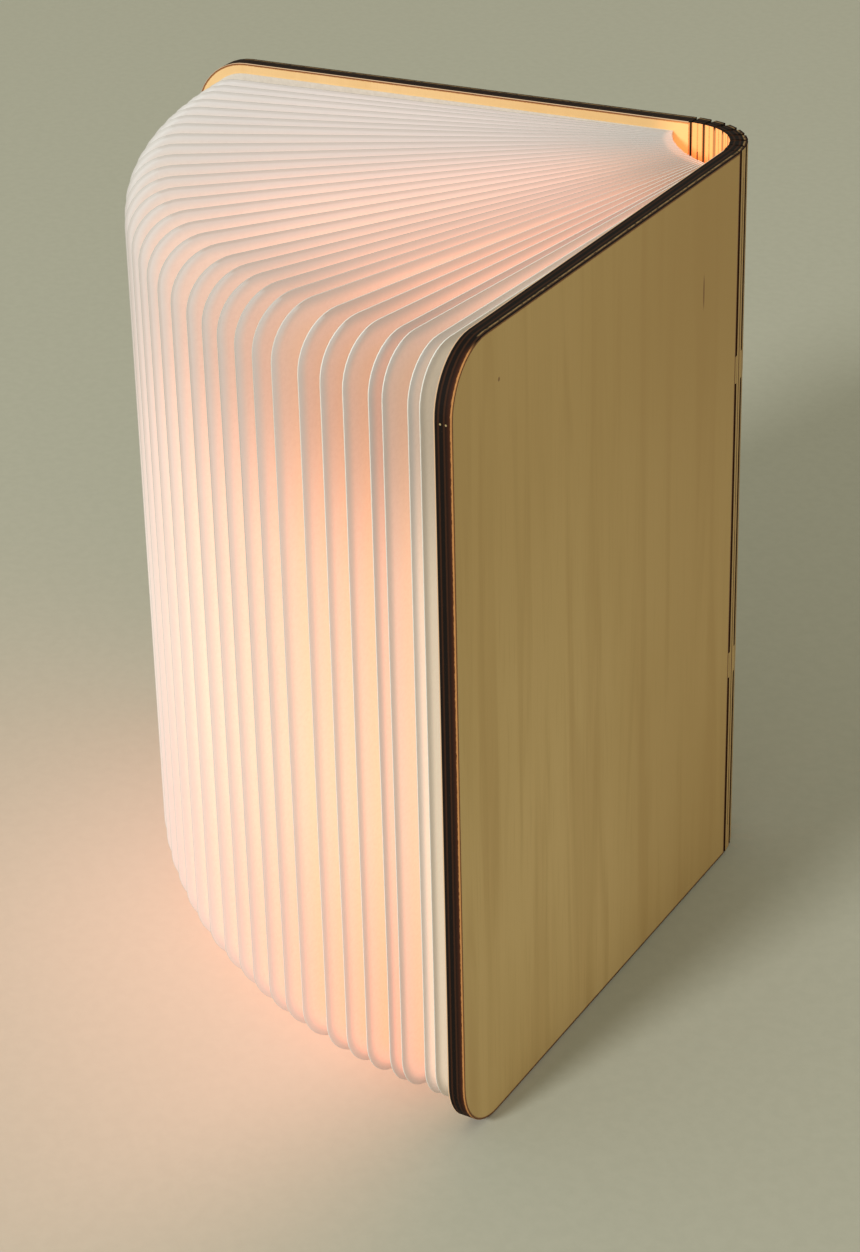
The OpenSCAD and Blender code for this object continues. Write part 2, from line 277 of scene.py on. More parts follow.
# Distances from the middle of the spine beyond which a cut edge belongs to a cover, and is its
# fore edge or a corner of it
COVER_U = 16 * MM
FORE_U = 160 * MM
# Dark stripes that the plies leave across the thickness of a cut edge
PLY_LINES = 3.2
# Two dried drops of glue on the fore edge of the front cover: height, places in v, size, colour
GLUE_Z = 0.1982
GLUE_DOTS = (-0.6 * MM, 0.9 * MM)
GLUE_R, GLUE_CORE_R = 0.34 * MM, 0.1 * MM
GLUE = (0.36, 0.27, 0.13)
# Pin knot and pith fleck of the front cover: u, z, half width and half height
FLECKS = [(0.1474, 0.2013, 0.5 * MM, 0.6 * MM), (0.0366, 0.1832, 0.45 * MM, 5 * MM)]


def wood_face(name, tan, brown, pale, light=None):
    """Veneer with its grain along z, scorched along the laser cuts.

    The attribute rim is the distance to the nearest cut. light is what the lamp adds to an inner
    face away from the hollow of the spine.
    """
    n = Nodes(name)
    board = n.attribute("board")
    u, _, z = n.split(board)
    rim = n.attribute("rim", "Fac")
    # Fine grain, broader figure and soft clouds, drawn out along z
    fine = n.noise(n.scaled(board, (1900, 1, 34)), 1.0, 4.0, 0.6)
    broad = n.noise(n.scaled(board, (120, 1, 7)), 1.0, 3.0, 0.5, warp=0.8)
    cloud = n.noise(n.scaled(board, (16, 1, 9)), 1.0, 2.0, 0.5)
    colour = n.mix(n.smooth(cloud, 0.30, 0.75), tan, pale)
    colour = n.mix(n.smooth(broad, 0.42, 0.75, 0.0, 0.55), colour, brown)
    colour = n.mix(n.smooth(fine, 0.50, 0.80, 0.0, 0.50), colour, brown)
    # Painted shade: browner towards the hinge and the top
    hinge_shade = n.smooth(n.math("ABSOLUTE", u), 0.12, 0.03, 0.0, 0.50)
    top = n.smooth(z, 0.09, 0.205, 0.0, 0.40)
    colour = n.mix(n.math("ADD", hinge_shade, top), colour, brown)
    for at_u, at_z, wide, tall in FLECKS:
        across = n.math("DIVIDE", n.math("SUBTRACT", u, at_u), wide)
        up = n.math("DIVIDE", n.math("SUBTRACT", z, at_z), tall)
        off = n.math("ADD", n.math("MULTIPLY", across, across), n.math("MULTIPLY", up, up))
        off = n.math("ADD", off, n.math("MULTIPLY", n.math("SUBTRACT", fine, 0.5), 0.8))
        colour = n.mix(n.smooth(off, 1.3, 0.3, 0.0, 0.8), colour, FLECK)
    # A ragged scorched line along each cut, charred next to it
    jag = n.noise(n.scaled(board, (2600, 1, 2600)), 1.0, 2.0, 0.6)
    ragged = n.math("ADD", rim, n.math("MULTIPLY", n.math("SUBTRACT", jag, 0.5), 0.3 * MM))
    colour = n.mix(n.smooth(ragged, 0.60 * MM, 0.35 * MM), colour, SCORCH)
    colour = n.mix(n.smooth(ragged, 0.22 * MM, 0.08 * MM), colour, CHAR_BROWN)
    extra = {}
    if light:
        cloud_z = n.math("ADD", z, n.math("MULTIPLY", n.math("SUBTRACT", broad, 0.5), 12 * MM))
        hole = n.mix(n.smooth(cloud_z, HEIGHT - 4 * MM, HEIGHT - 12 * MM), HOLE_TOP, HOLE_DEEP)
        lit = n.mix(n.smooth(n.math("ABSOLUTE", u), 28 * MM, 18 * MM), light, hole)
        extra = {"Emission_Color": lit, "Emission_Strength": 1.0}
    return n.surface(Base_Color=colour, Roughness=0.5, Specular_IOR_Level=0.3,
                     Normal=n.bump(fine, 0.06, 0.2 * MM), **extra)


def burnt_edge():
    """Laser-cut edge: char with faint plies, redder near the outer face, lit near the inner one."""
    n = Nodes("burnt_edge")
    board = n.attribute("board")
    u, v, z = n.split(board)
    streak = n.noise(n.scaled(board, (900, 2600, 900)), 1.0, 3.0, 0.6)
    # Char, striped by the plies, and redder towards the outer face except on the top edge
    plies = n.math("SINE", n.math("MULTIPLY", v, 2 * math.pi * PLY_LINES / BOARD_T))
    lines = n.smooth(n.math("ADD", plies, n.math("MULTIPLY", streak, 0.6)), 0.5, 1.2)
    colour = n.mix(n.math("MULTIPLY", lines, 0.75), CHAR, CHAR_BROWN)
    red = n.smooth(v, 0.2 * MM, 2.3 * MM, 0.0, 0.55)
    upright = n.smooth(z, HEIGHT - 0.5 * MM, HEIGHT - 2.5 * MM)
    colour = n.mix(n.math("MULTIPLY", red, upright), colour, CHAR_RED)
    # One pale ply that shows on the top edge
    ply = n.smooth(n.math("ABSOLUTE", n.math("SUBTRACT", v, BOARD_T * 0.32)),
                   0.32 * MM, 0.12 * MM, 0.0, 0.8)
    top = n.smooth(z, HEIGHT - 0.3 * MM, HEIGHT - 0.05 * MM)
    ply = n.math("MULTIPLY", n.math("MULTIPLY", ply, top), n.smooth(streak, 0.3, 0.55))
    colour = n.mix(ply, colour, PLY_TAN)
    # The outer veneer stays lighter along the fore edges
    away = n.math("ABSOLUTE", u)
    veneer = n.math("ADD", v, n.math("MULTIPLY", n.math("SUBTRACT", streak, 0.5), 0.5 * MM))
    veneer = n.smooth(veneer, 1.85 * MM, 2.15 * MM, 0.0, 0.85)
    veneer = n.math("MULTIPLY", veneer, n.smooth(away, 140 * MM, FORE_U))
    colour = n.mix(n.math("MULTIPLY", veneer, upright), colour, VENEER_EDGE)
    for at_v in GLUE_DOTS:
        off = n.math("ADD", n.math("POWER", n.math("SUBTRACT", v, at_v), 2.0),
                     n.math("POWER", n.math("SUBTRACT", z, GLUE_Z), 2.0))
        dot = n.math("MULTIPLY", n.smooth(off, GLUE_R ** 2, GLUE_CORE_R ** 2),
                     n.math("GREATER_THAN", u, FORE_U))
        colour = n.mix(dot, colour, GLUE)
    # Light on the inner part of the cut edges of the covers, and on the walls of the kerfs
    inner = -BOARD_T / 2
    covers = n.math("MULTIPLY", n.smooth(v, inner + 0.42 * MM, inner + 0.22 * MM, 0.0, 0.75),
                    n.math("GREATER_THAN", away, COVER_U))
    kerfs = n.math("MULTIPLY", n.smooth(away, 12.5 * MM, 7.5 * MM),
                   n.smooth(v, inner + 3.2 * MM, inner + 0.4 * MM, 0.0, 0.7))
    below = n.smooth(z, HEIGHT - 0.05 * MM, HEIGHT - 1.5 * MM)
    lit = n.math("ADD", covers, n.math("MULTIPLY", kerfs, below))
    light = n.mix(n.smooth(away, COVER_U, COVER_U - MM), COVER_EDGE_LIGHT, KERF_LIGHT)
    return n.surface(Base_Color=colour, Roughness=0.75, Specular_IOR_Level=0.12,
                     Emission_Color=light, Emission_Strength=lit,
                     Normal=n.bump(streak, 0.3, 0.2 * MM))


# ---------------------------------------------------------------- meshes
def new_piece(name, points, faces, materials, zones=None, attributes=()):
    """A piece from points and faces. attributes are (name, kind, one value per point)."""
    mesh = bpy.data.meshes.new(name)
    mesh.from_pydata([tuple(p) for p in points], [], faces)
    for material in materials:
        mesh.materials.append(material)
    if zones is not None:
        mesh.polygons.foreach_set("material_index", np.array(zones, np.int32))
    for title, kind, values in attributes:
        layer = mesh.attributes.new(title, kind, "POINT")
        key = "vector" if kind == "FLOAT_VECTOR" else "value"
        layer.data.foreach_set(key, np.array(values, np.float32).ravel())
    mesh.update()
    piece = bpy.data.objects.new(name, mesh)
    scene.collection.objects.link(piece)
    return piece


def board_to_part(side, k, points):
    """Points (u, v, z) of the board that starts at kerf axis k (0 is the middle of the spine)."""
    origin = AXES[k - 1] if k else Vector((0, 0))
    turn = TURNS[k]
    along = Vector((math.cos(turn), -math.sin(turn)))
    out = Vector((math.sin(turn), math.cos(turn)))
    placed = []
    for u, v, z in points:
        place = origin + along * u + out * v
        placed.append((side * place.x, place.y, z))
    return placed


# Zones of a wooden piece, in the order of its materials
FACE, INSIDE, EDGE = 0, 1, 2
face_wood = wood_face("plywood_face", *FACE_TONES)
inner_wood = wood_face("plywood_inside", *INSIDE_TONES, light=INSIDE_LIGHT)
# The slats' inner faces take tones made orange by painted light of the lamp
channel_wood = wood_face("plywood_channel", *CHANNEL_LIT_TONES, light=HOLE_TOP)
edge_wood = burnt_edge()
WOODS = [face_wood, inner_wood, edge_wood]
SPINE_WOODS = [face_wood, channel_wood, edge_wood]

# ---------------------------------------------------------------- covers
CORNER_R = 16.5 * MM
# Softened corner between a face and the cut edge
BEVEL = 0.12 * MM
# Distances from the cut of the rings of points on a face
RIM_STEPS = [0.0, 0.4 * MM, 1.0 * MM, 3.0 * MM]
CORNER_STEPS = 12


def cover_reach():
    """Where the front cover starts and ends, measured from its kerf axis."""
    turn = TURNS[KERFS]
    along = Vector((math.cos(turn), -math.sin(turn)))
    points = [Vector(v.co[:2]) - AXES[-1] for v in frame["nodes"]["front_cover"].data.vertices]
    reach = [p.dot(along) for p in points]
    return min(reach), max(reach)


COVER_START, COVER_END = cover_reach()


def cover_ring(inset):
    """Outline of a cover as (u, z) points, drawn in by inset: square corners at the hinge."""
    low, high = inset, HEIGHT - inset
    start, end, r = COVER_START + inset, COVER_END - inset, CORNER_R - inset
    ring = [(start, low)]
    for z, first in ((low + r, -90), (high - r, 0)):
        for step in range(CORNER_STEPS + 1):
            a = math.radians(first + 90 * step / CORNER_STEPS)
            ring.append((end - r + r * math.cos(a), z + r * math.sin(a)))
    ring.append((start, high))
    return ring


def make_cover(title, side):
    """Cover with softened edges. Rings of points tell the material how far the cut is."""
    points, rims, faces, zones = [], [], [], []
    half = BOARD_T / 2
    rings = [(inset + BEVEL, half, inset) for inset in reversed(RIM_STEPS)]
    rings += [(0.0, half - BEVEL, 0.0), (0.0, BEVEL - half, 0.0)]
    rings += [(inset + BEVEL, -half, inset) for inset in RIM_STEPS]
    for inset, v, rim in rings:
        ring = cover_ring(inset)
        points += [(u, v, z) for u, z in ring]
        rims += [rim] * len(ring)
    count = len(cover_ring(0.0))
    last = len(rings) - 1
    faces.append(list(range(count)))
    zones.append(FACE)
    for r in range(last):
        on_faces = rings[r][1] == rings[r + 1][1]
        zone = EDGE if not on_faces else (FACE if rings[r][1] > 0 else INSIDE)
        for i in range(count):
            j = (i + 1) % count
            faces.append([r * count + j, r * count + i, (r + 1) * count + i,
                          (r + 1) * count + j])
            zones.append(zone)
    faces.append([last * count + i for i in reversed(range(count))])
    zones.append(INSIDE)
    if side > 0:
        faces = [list(reversed(f)) for f in faces]
    shift = PITCH * (KERFS - 0.5)
    board = [(side * (u + shift), v, z) for u, v, z in points]
    piece = new_piece(f"{title}_cover_board", board_to_part(side, KERFS, points), faces, WOODS,
                      zones, [("board", "FLOAT_VECTOR", board), ("rim", "FLOAT", rims)])
    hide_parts(f"{title}_cover")
    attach(piece, body_of(f"{title}_cover"))


# ---------------------------------------------------------------- spine
# Uncut lengths of wood: height, and distance of a kerf's two bridges from mid height
BRIDGE_H = 8 * MM
BRIDGE_OFF = 45.4 * MM
# How far a bridge lies below the faces of the strips, and how far it runs in under them
BRIDGE_SINK = 0.02 * MM
BRIDGE_OVERLAP = 0.2 * MM
SLIT_W = 0.3 * MM
# Columns of points beside a cut. A rim of twice this width shows no scorch.
SCORCH_W = 0.45 * MM
# Value of rim along a fine slit, whose narrow cut scorches the wood beside it only lightly
SLIT_RIM = 0.25 * MM
ROW_STEP = 6 * MM
# Slack in comparing heights
NEAR = 1e-6


def bridge_spans():
    """Heights (low, high) of the two bridges across each through kerf."""
    return [(MID_Z + s * BRIDGE_OFF - BRIDGE_H / 2, MID_Z + s * BRIDGE_OFF + BRIDGE_H / 2)
            for s in (-1, 1)]


def slat_rows():
    """Heights of the mesh rows: every cut's end is one of them."""
    ends = [0.0, BRIDGE_H, MID_Z - BRIDGE_H / 2, MID_Z + BRIDGE_H / 2, HEIGHT - BRIDGE_H, HEIGHT]
    ends += [z for span in bridge_spans() for z in span]
    ends.sort()
    rows = []
    for low, high in zip(ends, ends[1:]):
        steps = max(1, round((high - low) / ROW_STEP))
        rows += [low + (high - low) * i / steps for i in range(steps)]
    return rows + [HEIGHT]


def in_slit(z):
    """True where a height lies in one of the two fine slits of a slat."""
    return BRIDGE_H < z < HEIGHT - BRIDGE_H and abs(z - MID_Z) > BRIDGE_H / 2


def at_bridge(z):
    """True where a height lies on a bridge, so that the wood beside the kerf isn't cut."""
    return any(low - NEAR <= z <= high + NEAR for low, high in bridge_spans())


# Columns of points across a slat, and the last one, counted from 0, before its slit
SLAT_COLUMNS = 8
SLIT_COLUMN = 3


def slat_points(rows, low, middle, high):
    """Points and rims of a slat between its kerfs: each row on the outer face, then the inner."""
    slit = SLIT_W / 2
    columns = [low, low + SCORCH_W, middle - slit - SCORCH_W, middle - slit,
               middle + slit, middle + slit + SCORCH_W, high - SCORCH_W, high]
    points, rims = [], []
    for z in rows:
        at_kerf = SCORCH_W if at_bridge(z) else 0.0
        at_slit = SLIT_RIM if in_slit(z) else SCORCH_W
        half_rims = [at_kerf, 2 * SCORCH_W, 2 * SCORCH_W, at_slit]
        for v in (BOARD_T / 2, -BOARD_T / 2):
            points += [(u, v, z) for u in columns]
            rims += half_rims + half_rims[::-1]
    return points, rims


def slat_faces(rows):
    """Faces and zones of a slat: two faces for each cell, and a wall wherever it meets a cut."""

    def at(row, column, outside):
        return (2 * row + (0 if outside else 1)) * SLAT_COLUMNS + column

    def solid(row, column):
        if not 0 <= row < len(rows) - 1 or not 0 <= column < SLAT_COLUMNS - 1:
            return False
        return column != SLIT_COLUMN or not in_slit((rows[row] + rows[row + 1]) / 2)

    faces, zones = [], []
    for row in range(len(rows) - 1):
        for c in range(SLAT_COLUMNS - 1):
            if not solid(row, c):
                continue
            faces.append([at(row, c, True), at(row + 1, c, True),
                          at(row + 1, c + 1, True), at(row, c + 1, True)])
            faces.append([at(row, c, False), at(row, c + 1, False),
                          at(row + 1, c + 1, False), at(row + 1, c, False)])
            zones += [FACE, INSIDE]
            walls = [((row, c - 1), (row, c), (row + 1, c)),
                     ((row, c + 1), (row + 1, c + 1), (row, c + 1)),
                     ((row - 1, c), (row, c + 1), (row, c)),
                     ((row + 1, c), (row + 1, c), (row + 1, c + 1))]
            for beside, a, b in walls:
                if not solid(*beside):
                    faces.append([at(*a, True), at(*a, False), at(*b, False), at(*b, True)])
                    zones.append(EDGE)
    return faces, zones


def make_slat(number):
    """Slat of the spine with its fine slit. Slat j on either side starts at kerf j."""
    j = abs(KERFS - number)
    side = 1 if number <= KERFS else -1
    low_kerf, high_kerf = (j, j + 1) if j else (1, 1)
    start, end = (0.0, PITCH) if j else (-PITCH / 2, PITCH / 2)
    low, high = start + KERF_W[low_kerf - 1] / 2, end - KERF_W[high_kerf - 1] / 2
    rows = slat_rows()
    points, rims = slat_points(rows, low, (start + end) / 2, high)
    faces, zones = slat_faces(rows)
    if side < 0:
        faces = [list(reversed(f)) for f in faces]
    shift = PITCH * (j - 0.5) if j else 0.0
    board = [(side * (u + shift), v, z) for u, v, z in points]
    piece = new_piece(f"spine_strip_{number}", board_to_part(side, j, points), faces,
                      SPINE_WOODS, zones,
                      [("board", "FLOAT_VECTOR", board), ("rim", "FLOAT", rims)])
    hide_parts(f"spine_slat_{number}")
    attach(piece, body_of(f"spine_slat_{number}"))


def bridge_faces():
    """Faces and zones of a bridge with three points in a row, two rows in a layer, two layers."""
    faces, zones = [], []
    for c in range(2):
        faces += [[c, 6 + c, 7 + c, c + 1], [3 + c, 4 + c, 10 + c, 9 + c],
                  [c, c + 1, 4 + c, 3 + c], [6 + c, 9 + c, 10 + c, 7 + c]]
        zones += [FACE, INSIDE, EDGE, EDGE]
    return faces + [[0, 3, 9, 6], [2, 8, 11, 5]], zones + [EDGE, EDGE]


def make_bridges(title, side):
    """The uncut bridges across the through kerfs, shaped with the twist they have at rest and attached to no body.
    """
    half = BOARD_T / 2 - BRIDGE_SINK
    for k in range(1, KERFS + 1):
        reach = KERF_W[k - 1] / 2 + BRIDGE_OVERLAP
        bend = BENDS[k - 1] / 2
        turn = TURNS[k] - bend
        along = Vector((math.cos(turn), -math.sin(turn)))
        out = Vector((math.sin(turn), math.cos(turn)))
        for number, (low, high) in enumerate(bridge_spans(), 1):
            points, board = [], []
            for z in (low, high):
                for v in (half, -half):
                    for u in (-reach, 0.0, reach):
                        sink = abs(u) * math.tan(bend) * (1 if v > 0 else -1)
                        place = AXES[k - 1] + along * u + out * (v - sink)
                        points.append((side * place.x, place.y, z))
                        board.append((side * (u + PITCH * (k - 0.5)), v, z))
            faces, zones = bridge_faces()
            if side < 0:
                faces = [list(reversed(f)) for f in faces]
            rims = [2 * SCORCH_W] * len(points)
            piece = new_piece(f"{title}_bridge_{k}_{number}", points, faces, SPINE_WOODS, zones,
                              [("board", "FLOAT_VECTOR", board), ("rim", "FLOAT", rims)])
            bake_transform(piece)


# ---------------------------------------------------------------- leaves
LEAF_T = 0.28 * MM
LEAF_R = 13.5 * MM
LEAF_COUNT = sum(name.startswith("page_") for name in frame["nodes"])
LEAF_Z = [corner.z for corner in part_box("page_16")]
# Rows of points round each corner of a leaf, and between the corners
CORNER_ROWS = 10
MIDDLE_ROWS = 16
# Length of a leaf over which its plies bend away at the spine, and the power of the bend
CURL = 1.6 * MM
CURL_POWER = 2.2
# Half of the room that a leaf has at the spine when the book is shut
SHUT_HALF = 0.205 * MM
# Shares of the curl, and of the flat paper after it, at which a ply has points
CURL_STEPS = [0.0, 0.08, 0.25, 0.5, 0.75, 1.0]
FLAT_STEPS = [0.03, 0.12, 0.3, 0.5, 0.7, 0.85, 0.94, 0.98, 1.0]
# Rounding of the fold at the fore edge: along the leaf, and half across it
FOLD_IN = 0.04 * MM
FOLD_HALF = LEAF_T * 0.3
# Faces on each side of the fold's middle that take the rim's paper
FOLD_FACES = 2
SHARP_ANGLE = math.radians(50)
# Band in which a CAD point counts as part of the nearest or furthest edge of its leaf
EDGE_BAND = 0.3 * MM
# Drift in mm of each leaf's fore edge at its foot towards the front cover. From leaf to leaf
# it grows by no more than the 0.15 mm that the shut leaves leave between them.
FOOT_DRIFT = [0.05, 0.13, 0.22, 0.34, 0.46, 0.58, 0.70, 0.82, 0.94, 1.0, 1.05, 1.05, 1.0, 0.95,
              0.90, 0.80, 0.70, 0.60, 0.50, 0.40, 0.30, 0.20, 0.10]
# Bow and wave of a fore edge in mm, half waves over the height, and the wave's shift in radians
# from leaf to leaf
BOW = 0.22
WAVE = 0.10
HALF_WAVES = 2.3
WAVE_SHIFT = 0.22
# The leaves before this one lie by the front cover and bow less
FREE_LEAF = 5
# Power by which the drift grows from the spine outwards
DRIFT_POWER = 1.8


def leaf_line(number):
    """Middle of the inner and of the outer edge of a leaf in plan."""
    cloud = np.array([v.co[:2] for v in frame["nodes"][f"page_{number:02d}"].data.vertices])
    reach = np.hypot(cloud[:, 0], cloud[:, 1])
    ends = []
    for near in (reach < reach.min() + EDGE_BAND, reach > reach.max() - EDGE_BAND):
        # Points above one another count once
        ends.append(Vector(np.unique(np.round(cloud[near], 7), axis=0).mean(0)))
    return ends


def leaf_rows():
    """(height, how far the corner cuts the leaf short) rows, closer together round the corners."""
    low, high = LEAF_Z
    rows = []
    for step in range(CORNER_ROWS + 1):
        a = math.pi / 2 * step / CORNER_ROWS
        rows.append((low + LEAF_R * (1 - math.cos(a)), LEAF_R * (1 - math.sin(a))))
    middle = [low + LEAF_R + (high - low - 2 * LEAF_R) * i / MIDDLE_ROWS
              for i in range(1, MIDDLE_ROWS)]
    return rows + [(z, 0.0) for z in middle] + [(low + high - z, cut) for z, cut in reversed(rows)]


def leaf_path(length, front_half, back_half):
    """Plan of one leaf as (s, n), round from the front ply over the fore edge to the back ply.

    At the spine each ply curls over towards its neighbour, as far as the shut book lets it.
    """

    def ply(half, sign):
        half = max(half, LEAF_T / 2)
        curl = [(CURL * a, sign * (LEAF_T / 2 + (half - LEAF_T / 2) * (1 - a) ** CURL_POWER))
                for a in CURL_STEPS]
        flat = [(CURL + (length - LEAF_T / 2 - CURL) * a, sign * LEAF_T / 2)
                for a in FLAT_STEPS]
        return curl + flat

    fold = [(length - FOLD_IN, FOLD_HALF), (length, 0.0), (length - FOLD_IN, -FOLD_HALF)]
    return ply(front_half, 1) + fold + list(reversed(ply(back_half, -1)))


def leaf_drift(number, s, z, length):
    """How far a leaf strays from its plane towards the front cover, as paper does."""
    low, high = LEAF_Z
    t = (z - low) / (high - low)
    foot = FOOT_DRIFT[number - 1] * (1 - t) ** 2 if number <= len(FOOT_DRIFT) else 0.0
    free = min(1.0, number / FREE_LEAF)
    wave = WAVE * math.sin(HALF_WAVES * math.pi * t + WAVE_SHIFT * number)
    bow = BOW * math.sin(math.pi * t)
    return (foot + free * (wave + bow)) * MM * (s / length) ** DRIFT_POWER


# Glow of a leaf at its foot, at mid height and at its top
GLOW_FOOT = (1.0, 0.33, 0.20)
GLOW_MIDDLE = (1.0, 0.49, 0.33)
GLOW_TOP = (1.0, 0.38, 0.24)
# Tones that tint the glow near a leaf's outline and further in
GLOW_PINK = (1.0, 0.52, 0.42)
GLOW_AMBER = (1.0, 0.46, 0.16)
# Glow by the spine, and of the foremost leaves
GLOW_DEEP = (1.0, 0.36, 0.15)
GLOW_FRONT = (1.0, 0.84, 0.63)
# Share of the glow that a leaf keeps at its outline
OUTLINE_GLOW = 0.24
# Distances from the fore edge between which a leaf passes into its curls at the spine
CURLS_FROM, CURLS_TO = 0.1440, 0.1460
# Paper: its two tones, a cooler tone by its outline that is painted cool shade, and the painted shade behind the
# outline of the leaves further back
PAPER_TONES = ((0.64, 0.635, 0.61), (0.60, 0.595, 0.57))
PAPER_OUTLINE_SHADE = (0.63, 0.635, 0.64)
PAPER_SHADE = (0.47, 0.46, 0.44)
# Folds and cut rims: their two tones in front, paler than the paper as a painted highlight, and the greys of
# painted shade further back, at the foot and top
RIM_HIGHLIGHT_TONES = ((0.72, 0.73, 0.705), (0.68, 0.69, 0.665))
RIM_SHADE_GREYS = ((0.59, 0.59, 0.565), (0.445, 0.445, 0.42))
RIM_GLOW = (1.0, 0.42, 0.22)


def paper_leaf():
    """Translucent paper lit from the spine: dim at its outline and glowing deeper in.

    The attribute leaf is (distance from the fore edge, height, share of the leaves in front).
    """
    n = Nodes("leaf_paper")
    fore, z, order = n.split(n.attribute("leaf"))
    low, high = LEAF_Z
    height = n.math("DIVIDE", z, high)

    # Depth: the distance in from the outline, whose two corners at the fore edge are round
    beside = n.math("SUBTRACT", LEAF_R, fore)
    above = n.math("SUBTRACT", n.math("ABSOLUTE", n.math("SUBTRACT", z, (low + high) / 2)),
                   (high - low) / 2 - LEAF_R)
    straight = n.math("MINIMUM", n.math("MAXIMUM", beside, above), 0.0)
    corner = n.math("SQRT", n.math("ADD", n.math("POWER", n.math("MAXIMUM", beside, 0.0), 2.0),
                                   n.math("POWER", n.math("MAXIMUM", above, 0.0), 2.0)))
    depth = n.math("SUBTRACT", LEAF_R, n.math("ADD", straight, corner))

    # Colour of the glow, by height, then by depth, by the spine and on the foremost leaves
    warm = n.mix(n.smooth(height, 0.05, 0.45), GLOW_FOOT, GLOW_MIDDLE)
    warm = n.mix(n.smooth(height, 0.56, 0.98), warm, GLOW_TOP)
    pink = n.mix(0.30, warm, GLOW_PINK)
    amber = n.mix(0.35, warm, GLOW_AMBER)
    warm = n.mix(n.smooth(depth, 2.5 * MM, 8.0 * MM), pink, amber)
    warm = n.mix(n.smooth(fore, 0.10, 0.145), warm, GLOW_DEEP)
    warm = n.mix(n.smooth(order, 0.02, 0.095), GLOW_FRONT, warm)

    # Strength of the glow: it fades upwards and grows towards the spine
    inward = n.smooth(fore, 0.0, 0.15)
    level = n.math("MULTIPLY", n.smooth(height, 0.35, 1.0, 0.62, 0.50),
                   n.smooth(inward, 0.0, 1.0, 1.0, 1.4))
    # It is weaker along the top of the fore edge
    tall = n.smooth(height, 0.68, 0.92)
    edge = n.math("MULTIPLY", tall, n.smooth(fore, 0.0, 0.055, 0.45, 0.0))
    level = n.math("MULTIPLY", level, n.math("SUBTRACT", 1.0, edge))
    # It sinks close to the spine, where the next leaf shades this one
    level = n.math("MULTIPLY", level, n.smooth(fore, 0.115, 0.145, 1.0, 0.62))
    # The leaves further back are dimmer, most of all at their tops, and so are the foremost
    behind = n.smooth(order, 0.46, 0.80)
    dimmed = n.math("MULTIPLY", behind, n.smooth(height, 0.60, 0.97, 0.35, 0.66))
    level = n.math("MULTIPLY", level, n.math("SUBTRACT", 1.0, dimmed))
    level = n.math("MULTIPLY", level, n.smooth(order, 0.03, 0.20, 0.72, 1.0))
    # The curls at the spine are bright
    level = n.math("ADD", level, n.smooth(fore, CURLS_FROM, CURLS_TO, 0.0, 0.5))
    glow = n.math("MULTIPLY", n.smooth(depth, 0.4 * MM, 3.6 * MM), 1.0 - OUTLINE_GLOW)
    strength = n.math("MULTIPLY", level, n.math("ADD", OUTLINE_GLOW, glow))

    # Paper: fine fibres, a cooler outline and a grey line along it on the leaves further back, both painted shade
    fibre = n.noise(n.attribute("leaf"), 900.0, 3.0, 0.6)
    base = n.mix(n.smooth(fibre, 0.3, 0.8), *PAPER_TONES)
    base = n.mix(n.smooth(depth, 3.2 * MM, 0.8 * MM), base, PAPER_OUTLINE_SHADE)
    line = n.math("MULTIPLY", n.smooth(order, 0.22, 0.50), n.smooth(height, 0.45, 0.80))
    line = n.math("MULTIPLY", line, n.smooth(depth, 1.0 * MM, 0.3 * MM, 0.0, 0.6))
    base = n.mix(line, base, PAPER_SHADE)
    return n.surface(Base_Color=base, Roughness=0.75, Specular_IOR_Level=0.2,
                     Emission_Color=warm, Emission_Strength=strength,
                     Normal=n.bump(fibre, 0.03, 0.1 * MM))


def paper_rim():
    """The fold and the cut rims of a leaf: pale in front as a painted highlight, greyer further back as painted
    shade.
    """
    n = Nodes("leaf_rim")
    fore, z, order = n.split(n.attribute("leaf"))
    fibre = n.noise(n.attribute("leaf"), 700.0, 2.0, 0.5)
    # Painted highlight: rims paler than the paper; painted shade: greyer on the leaves further back, darker
    # towards the top
    base = n.mix(n.smooth(fibre, 0.3, 0.8), *RIM_HIGHLIGHT_TONES)
    grey = n.mix(n.smooth(z, 0.07, 0.17), *RIM_SHADE_GREYS)
    base = n.mix(n.smooth(order, 0.18, 0.34), base, grey)
    return n.surface(Base_Color=base, Roughness=0.7, Specular_IOR_Level=0.2,
                     Emission_Color=RIM_GLOW,
                     Emission_Strength=n.smooth(fore, CURLS_FROM, CURLS_TO, 0.01, 0.5))


# Zones of a leaf, in the order of its materials
PAPER, RIM = 0, 1


def leaf_faces(count, rows):
    """Faces and zones of a leaf with count points in each of its rows, which are closed paths."""
    faces, zones = [], []
    tip = count // 2
    for r in range(rows - 1):
        for i in range(count):
            j = (i + 1) % count
            faces.append([r * count + i, (r + 1) * count + i, (r + 1) * count + j,
                          r * count + j])
            zones.append(RIM if abs(i + 0.5 - tip) < FOLD_FACES else PAPER)
    for r, flip in ((0, False), (rows - 1, True)):
        for i in range(tip):
            quad = [r * count + i, r * count + i + 1, r * count + count - 2 - i,
                    r * count + count - 1 - i]
            if quad[1] == quad[2]:
                quad = [quad[0], quad[1], quad[3]]
            faces.append(list(reversed(quad)) if flip else quad)
            zones.append(RIM)
    return faces, zones


